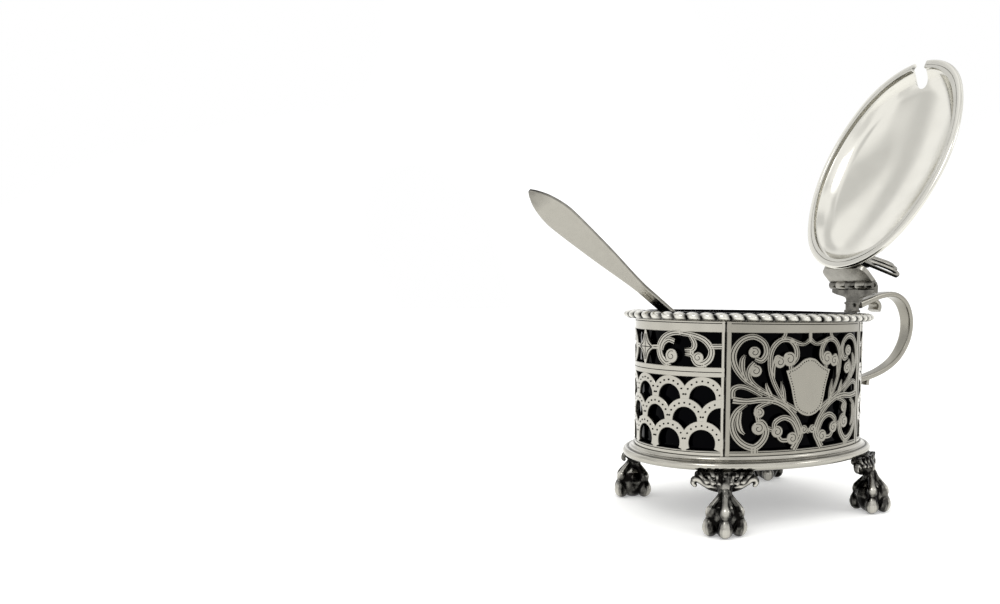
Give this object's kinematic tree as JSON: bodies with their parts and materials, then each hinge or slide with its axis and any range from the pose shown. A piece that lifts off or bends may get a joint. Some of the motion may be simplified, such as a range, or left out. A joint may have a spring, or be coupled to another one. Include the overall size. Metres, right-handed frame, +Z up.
{
  "type": "mustard pot",
  "caption": "Oval pierced silver mustard pot with a glass lining, claw-and-ball feet, strap handle, hinged lid with a thumbpiece and spoon notch, and a mustard spoon.",
  "frame": {"origin": "on the floor under the middle of the oval body", "axes": "+X towards the handle and hinge, +Y towards the left side panel, +Z up"},
  "size_m": [0.1464, 0.0674, 0.1506],
  "materials": {
    "silver": "polished silver with dark oxide in the recesses",
    "glass": "glossy, nearly black cobalt blue glass"
  },
  "bodies": {
    "pot": {"base_moulding": "silver", "liner_ledge": "silver", "front_panel": "silver", "back_panel": "silver", "left_panel": "silver", "right_panel": "silver", "gadroon_rim": "silver", "glass_liner": "glass", "foot_front_left": "silver", "foot_front_right": "silver", "foot_back_left": "silver", "foot_back_right": "silver", "handle": "silver", "hinge_post": "silver", "lower_hinge_leaf": "silver", "hinge_pin": "silver"},
    "lid": {"lid_border": "silver", "lid_dome": "silver", "upper_hinge_leaf": "silver", "thumbpiece": "silver"},
    "spoon": {"spoon": "silver"}
  },
  "joints": [
    {"name": "lid_hinge", "type": "hinge", "parent": "pot", "child": "lid", "pos_m": [0.042, 0, 0.0712], "axis": [0, 1, 0], "range_deg": [-116, 0]},
    {"name": "spoon_slide", "type": "slide", "parent": "pot", "child": "spoon", "axis": [-0.8007, 0, 0.599], "range_m": [0, 0.025]}
  ]
}
